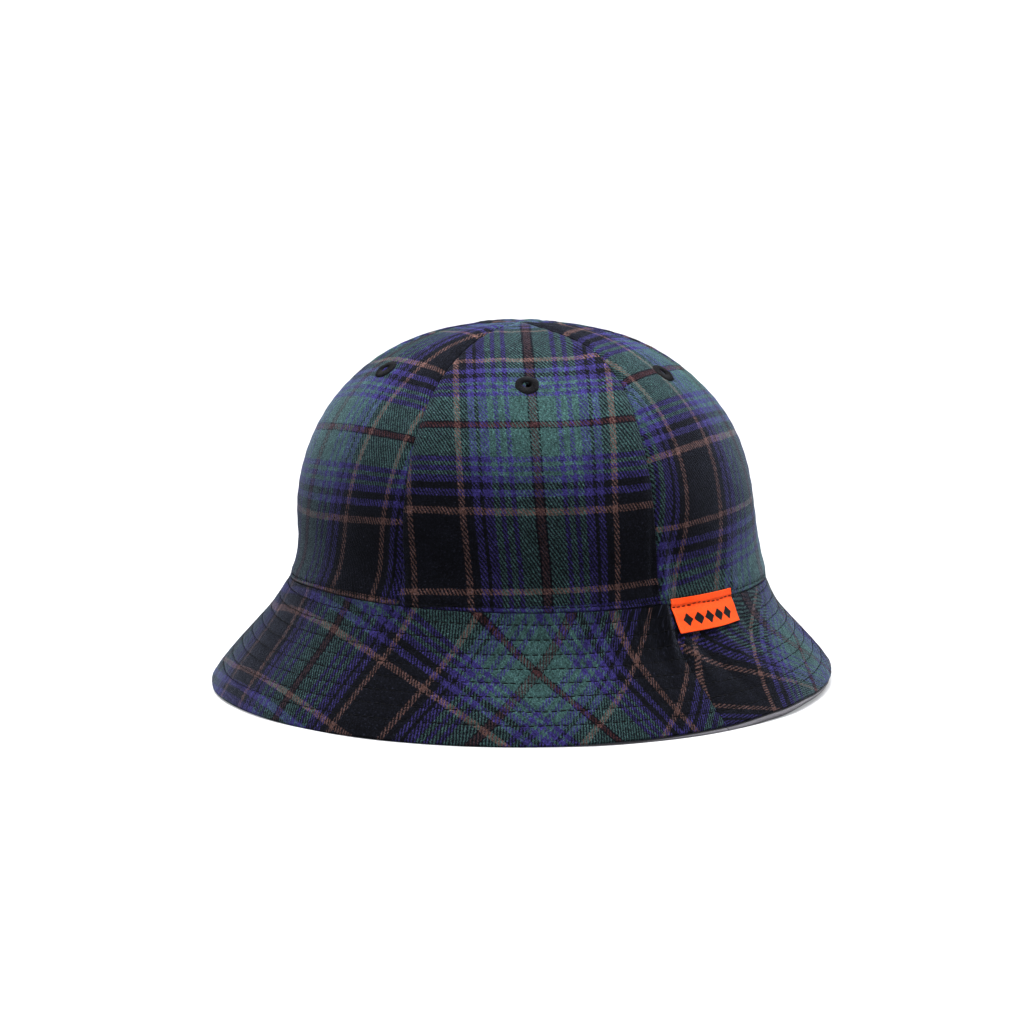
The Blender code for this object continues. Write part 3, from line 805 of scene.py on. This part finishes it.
stitch_line("brim_stitching", "brim", -82, 278, ROWS, 0.0031, 0.0027, 0.00017, THREAD, brim_detail)
stitch_line("brim_stitching_under", "brim", -82, 278, ROWS, 0.0031, 0.0026, 0.00016, GREY_THREAD, None, offset=-0.0026, side=-1.0, samples=5, sides=4, slot="lining_cloth")
label_half = math.degrees(LABEL_W / 2 / SEAM_R)
stitch_line("crown_topstitch", "crown", -82, 278, [CROWN_L - 0.0018], 0.0030, 0.0025, 0.00017, THREAD, crown_detail,
            skip=lambda a: abs(wrap(a - LABEL_AZ)) < label_half + 0.4, climbs=True)


# ---------------------------------------------------------------- eyelets: satin stitch worked over the edge of a hole
def eyelet(where, azc):
    threads, around, down = 58, 58 * 6, 17
    point, out, side = (v[0] for v in frame_of("crown", np.array([azc + eye_turn[azc]]), np.array([eye_s[azc]])))
    up = np.cross(out, side)
    lift = float(relief("crown", azc + eye_turn[azc], eye_s[azc])) + 0.0001
    t = np.arange(around) / around * math.tau
    cord = np.abs(np.cos(t * threads / 2)) ** 0.8
    ragged = np.repeat(rng.normal(0, 0.00012, threads), 6)
    ragged2 = np.repeat(rng.normal(0, 0.00006, threads), 6)
    # profile from inside the hole, over the ring, to its outer edge, then down to the cloth
    prof = catmull([(0.00125, -0.0021), (0.00145, -0.0012), (0.00158, -0.0002), (0.00195, 0.00050), (0.00265, 0.00080),
                    (0.00345, 0.00074), (0.00415, 0.00050), (0.00462, 0.00010), (0.00470, -0.00035)], 2)
    m = len(prof)
    weight = np.interp(np.arange(m), [0, m * 0.3, m * 0.5, m * 0.85, m - 1], [0.2, 0.6, 1.0, 1.0, 0.5])
    r = prof[:, 0][None] + ragged[:, None] * np.clip((prof[:, 0] - 0.0030) / 0.0015, 0, 1)[None] + ragged2[:, None] * 0.5
    z = prof[:, 1][None] + (cord[:, None] - 0.6) * 0.00020 * weight[None]
    swirl = t[:, None] + 0.05 * (prof[:, 0][None] - 0.003) / 0.0015
    bend = -(r ** 2) / (2 * 0.075)
    pts = (point + out * lift)[None, None] + r[..., None] * (np.cos(swirl)[..., None] * side + np.sin(swirl)[..., None] * up) \
        + (z + bend)[..., None] * out
    i = np.arange(around * m).reshape(around, m)
    a, b = i, np.roll(i, -1, 0)
    faces = np.stack([a[:, :-1], b[:, :-1], b[:, 1:], a[:, 1:]], -1).reshape(-1, 4)
    # close the ring underneath
    faces = np.vstack([faces, np.stack([a[:, -1], b[:, -1], b[:, 0], a[:, 0]], -1)])
    uv = np.stack(np.broadcast_arrays(prof[:, 0][None] * 1000, t[:, None] * 4.5), -1) / 10
    obj = add("worked_eyelet_" + where, pts, faces, EYELET_THREAD, uv)
    hold(obj, "black_thread", "eyelet_" + where)


for where, azc in PANELS.items():
    eyelet(where, azc)

# ---------------------------------------------------------------- sweatband, its stitching, and the care label
band_h = 0.031
a = np.linspace(180.4, 539.6, 260)
s = CROWN_L - 0.0004 - np.array([0, 0.0003, 0.0008, 0.0016, 0.003, 0.006, 0.010, 0.014, 0.018, 0.022, 0.025, 0.0275, 0.0292, 0.0302, 0.0307, band_h])[::-1]
AZ, S = np.meshgrid(a, s, indexing="ij")
point, normal, _ = frame_of("crown", AZ, S)
rise = (CROWN_L - S) / band_h
wavy = 0.0004 * np.sin(np.radians(AZ) * 9 + 1) * rise + 0.00025 * np.sin(np.radians(AZ) * 23) * rise ** 2
end = np.minimum(CROWN_L - 0.0004 - S, S - S.min())
top = relief("crown", AZ, S) * 0.6 - 0.0035 - 0.0004 * rise + np.minimum(wavy, 0.0003) - roll(end, 0.0003)
low = relief("crown", AZ, S) * 0.6 - 0.0042 - 0.0004 * rise + np.minimum(wavy, 0.0003) + roll(end, 0.0003)
low = np.minimum(low, top - 0.0001)
band = cloth("sweatband_cloth_strip", point + normal * top[..., None], point + normal * low[..., None],
             np.stack([np.radians(AZ) * CROWN_R * 1000, S * 1000], -1) / 100, BAND)
hold(band, "sweatband_cloth", "sweatband")
stitch_line("sweatband_stitching", "crown", 180.8, 539.2, [CROWN_L - 0.0030, CROWN_L - band_h + 0.0026], 0.0032, 0.0026, 0.00016,
            GREY_THREAD, None, offset=-0.0046, side=-1.0, samples=5, sides=4, slot="sweatband_cloth")

care_half = math.degrees(0.0168 / CROWN_R)
top_s = CROWN_L - band_h - 0.004 - 0.022
AZ, S = np.meshgrid(np.linspace(180 - care_half, 180 + care_half, 30), np.linspace(top_s, top_s + 0.022, 24), indexing="ij")
point, normal, _ = frame_of("crown", AZ, S)
free = (S - top_s) / 0.022
curl = 0.0006 * free ** 2 * (1 + 0.5 * np.sin(np.radians(wrap(AZ - 180)) * 9))
h = relief("crown", AZ, S) * 0.7 - 0.0037 - curl
care = cloth("care_label_tape", point + normal * h[..., None], point + normal * (h - 0.00030)[..., None],
             np.stack([np.radians(AZ) * CROWN_R * 1000, S * 1000], -1) / 100, WHITE)
hold(care, "white_label", "care_label")
stitch_line("care_label_stitching", "crown", 180 - care_half + 0.6, 180 + care_half - 0.6, [top_s + 0.0022], 0.0026, 0.0021, 0.00014,
            GREY_THREAD, None, offset=-0.0041, side=-1.0, samples=5, sides=4, slot="white_label")

# ---------------------------------------------------------------- side label: sewn along a line near its top, loose below
stitch_s = CROWN_L - 0.0022
lean_deg = 27.5
wide = np.r_[np.array([0, 0.00012, 0.0003, 0.0006, 0.0011]), np.linspace(0.0018, LABEL_W - 0.0018, 52), LABEL_W - np.array([0.0011, 0.0006, 0.0003, 0.00012, 0])] - LABEL_W / 2
down = np.r_[-0.0033 + np.array([0, 0.0001, 0.00025, 0.0005, 0.0009]), np.linspace(-0.0020, 0.0020, 17), np.linspace(0.0026, 0.0106, 22), 0.0118 - np.array([0.0009, 0.0006, 0.00035, 0.0002, 0.00008, 0])]
X, B = np.meshgrid(wide, down, indexing="ij")
B = np.where(B > 0, B * (0.88 - 0.04 * X / (LABEL_W / 2)), B)
AZ = LABEL_AZ + np.degrees(X / SEAM_R)
seam_p, seam_n, seam_t = frame_of("crown", AZ, np.full(AZ.shape, stitch_s))
out_dir = np.stack([np.sin(np.radians(AZ)), -np.cos(np.radians(AZ)), np.zeros(AZ.shape)], -1)
flat_dir = np.array([math.sin(math.radians(LABEL_AZ)), -math.cos(math.radians(LABEL_AZ)), 0.0])
above, above_n, _ = frame_of("crown", AZ, np.clip(stitch_s + B, 0, CROWN_L))
lift = relief("crown", AZ, np.clip(stitch_s + B, 0, CROWN_L)) + 0.00075 - 0.00035 * bell(B, 0.0007)
held = above + above_n * lift[..., None]
hinge, hinge_n, _ = frame_of("crown", AZ, np.full(AZ.shape, stitch_s))
hinge = hinge + hinge_n * (relief("crown", AZ, np.full(AZ.shape, stitch_s)) + 0.00075 - 0.00035)[..., None]
drop = np.clip(B, 0, None)
lean = np.radians(lean_deg - 3.0 * X / (LABEL_W / 2) + 3 * np.clip(B / 0.0118, 0, 1) - 5 * bell(B, 0.002))
mixed_dir = out_dir * 0.55 + flat_dir * 0.45
mixed_dir /= np.linalg.norm(mixed_dir, axis=-1, keepdims=True)
wave = 0.00035 * np.sin(X / 0.0165 * math.pi + 0.7) * (drop / 0.0118) + 0.0003 * bell(drop - 0.003, 0.0022)
hang = hinge + mixed_dir * (drop * np.sin(lean) + wave)[..., None] - np.array([0, 0, 1.0]) * (drop * np.cos(lean))[..., None]
blendw = smooth(B / 0.0008)[..., None]
face = held * (1 - blendw) + hang * blendw
dface_b = np.gradient(face, axis=1)
dface_a = np.gradient(face, axis=0)
fn = np.cross(dface_b, dface_a)
fn /= np.linalg.norm(fn, axis=-1, keepdims=True)
corner = np.minimum(np.minimum(X + LABEL_W / 2, LABEL_W / 2 - X), np.minimum(B + 0.0033, B.max(axis=1, keepdims=True) - B))
front = face - fn * roll(corner, 0.00022)[..., None]
back = face - fn * (0.00055 - roll(corner, 0.00022))[..., None]
label = cloth("side_label", front, back, np.stack([X * 1000, -B * 1000], -1) / 100, ORANGE)
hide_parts("label_sewn_edge", "label_flap")
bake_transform(label)

# stitches through the label
count = 13
step = LABEL_W / count
cs, ns, rs = [], [], []
for k in range(count):
    x = np.linspace(0.00035, step - 0.00035, 7) - LABEL_W / 2 + k * step
    b = -0.0002 + 0.0003 * math.sin(k * 0.9 + 0.4) + np.linspace(0, 0.0002, 7) * math.cos(k * 2.1)
    az = LABEL_AZ + np.degrees(x / SEAM_R)
    p0, n0, _ = frame_of("crown", az, stitch_s + b)
    arch = np.sin(np.linspace(0, 1, 7) * math.pi) ** 0.45
    h = relief("crown", az, stitch_s + b) + 0.00042 + (-0.0002 + 0.00034 * arch)
    cs.append(p0 + n0 * h[:, None])
    ns.append(n0)
    rs.append(0.00017 * (0.75 + 0.25 * arch))
hold(tubes("side_label_stitching", np.array(cs), np.array(ns), np.array(rs), THREAD), "black_thread")

# ---------------------------------------------------------------- floor, light and camera
floor_n = Nodes("pale_floor")
tone = floor_n.mix(floor_n.noise(3.0, 3, 0.5, floor_n.place()), (0.245, 0.245, 0.25), (0.26, 0.26, 0.265))
floor_n.tree.links.new(tone, floor_n.shader.inputs["Base Color"])
height = floor_n.new("ShaderNodeSeparateXYZ")
floor_n.tree.links.new(floor_n.place(), height.inputs[0])
glow = floor_n.remap(height.outputs[2], 0.0, 0.5, 0.43, 1.1)     # painted light: the floor glows evenly like a light table, which also pales the shadows under the hat, and the wall round it glows brighter with height in place of a wall lit from behind
floor_n.tree.links.new(glow, floor_n.shader.inputs["Emission Strength"])
FLOOR = floor_n.finish(Roughness=0.95, Specular_IOR_Level=0.05, Emission_Color=(0.97, 0.98, 1.0))
cam_az = math.radians(60)
toward = np.array([math.sin(cam_az), -math.cos(cam_az), 0.0])
right = np.array([math.cos(cam_az), math.sin(cam_az), 0.0])
bend = np.linspace(0.06, 1, 16) * math.pi / 2
reach = np.r_[np.array([0.02, 0.4, 1.2, 2.4, 3.6, 4.6, 5.4]), 5.4 + 0.8 * np.sin(bend), 6.2]
climb = np.r_[np.zeros(7), 0.8 * (1 - np.cos(bend)), 1.35]
around = np.linspace(0, math.tau, 73)[:-1]
pts = np.stack([reach[None] * np.cos(around)[:, None], reach[None] * np.sin(around)[:, None], np.broadcast_to(climb, (72, len(reach)))], -1)
i = np.arange(72 * len(reach)).reshape(72, len(reach))
j = np.roll(i, -1, 0)
quads = np.stack([i[:, :-1], i[:, 1:], j[:, 1:], j[:, :-1]], -1).reshape(-1, 4)
pts = np.vstack([pts.reshape(-1, 3), [[0, 0, 0]]])
middle = len(pts) - 1
fan = np.array([[middle, i[k, 0], j[k, 0], j[(k + 1) % 72, 0]] for k in range(0, 72, 2)])
sweep = add("backdrop_sweep", pts, np.vstack([quads, fan]), FLOOR)

world = bpy.data.worlds.new("studio")
bpy.context.scene.world = world
world.use_nodes = True
world.node_tree.nodes["Background"].inputs[0].default_value = (0.90, 0.94, 1.0, 1)
world.node_tree.nodes["Background"].inputs[1].default_value = 0.115


def aim(obj, at, to):
    bpy.context.scene.collection.objects.link(obj)
    obj.location = Vector(at)
    obj.rotation_euler = (Vector(to) - Vector(at)).to_track_quat("-Z", "Y").to_euler()


def softbox(name, at, to, size, power, colour=(1, 1, 1)):
    lamp = bpy.data.lights.new(name, "AREA")
    lamp.shape = "RECTANGLE"
    lamp.size, lamp.size_y = size
    lamp.energy = power
    lamp.color = colour
    aim(bpy.data.objects.new(name, lamp), at, to)


# a wide soft ceiling of light, the same everywhere on the floor
ceiling = bpy.data.lights.new("ceiling_light", "SUN")
ceiling.energy = 7.7
ceiling.angle = math.radians(52)
aim(bpy.data.objects.new("ceiling_light", ceiling), tuple(toward * 0.02 + right * 0.14 + np.array([0, 0, 2.0])), (0, 0, 0))
softbox("overhead_softbox", (0, 0, 0.56), (0, 0, 0), (0.36, 0.36), 2.9)
softbox("side_softbox", tuple(right * 1.5 - toward * 0.7 + np.array([0, 0, 0.9])), (0, 0, 0.07), (0.8, 0.8), 15)
softbox("far_softbox", tuple(-right * 1.5 - toward * 0.5 + np.array([0, 0, 1.0])), (0, 0, 0.09), (0.8, 0.8), 6)

elevation = math.radians(9.2)
back_dir = toward * math.cos(elevation) + np.array([0, 0, math.sin(elevation)])
target = -right * 0.00564 + np.array([0, 0, 0.0671])
camera_data = bpy.data.cameras.new("photo_camera")
camera_data.sensor_width = 36
camera_data.lens = 104.68
camera_data.clip_end = 20
camera = bpy.data.objects.new("photo_camera", camera_data)
bpy.context.scene.collection.objects.link(camera)
camera.location = Vector(target + back_dir * 1.2)
camera.rotation_euler = Vector(-back_dir).to_track_quat("-Z", "Y").to_euler()
bpy.context.scene.camera = camera
bpy.context.scene.view_settings.view_transform = "Standard"
bpy.context.scene.view_settings.look = "None"
bpy.context.scene.view_settings.exposure = 0.0
bpy.context.scene.view_settings.gamma = 0.78
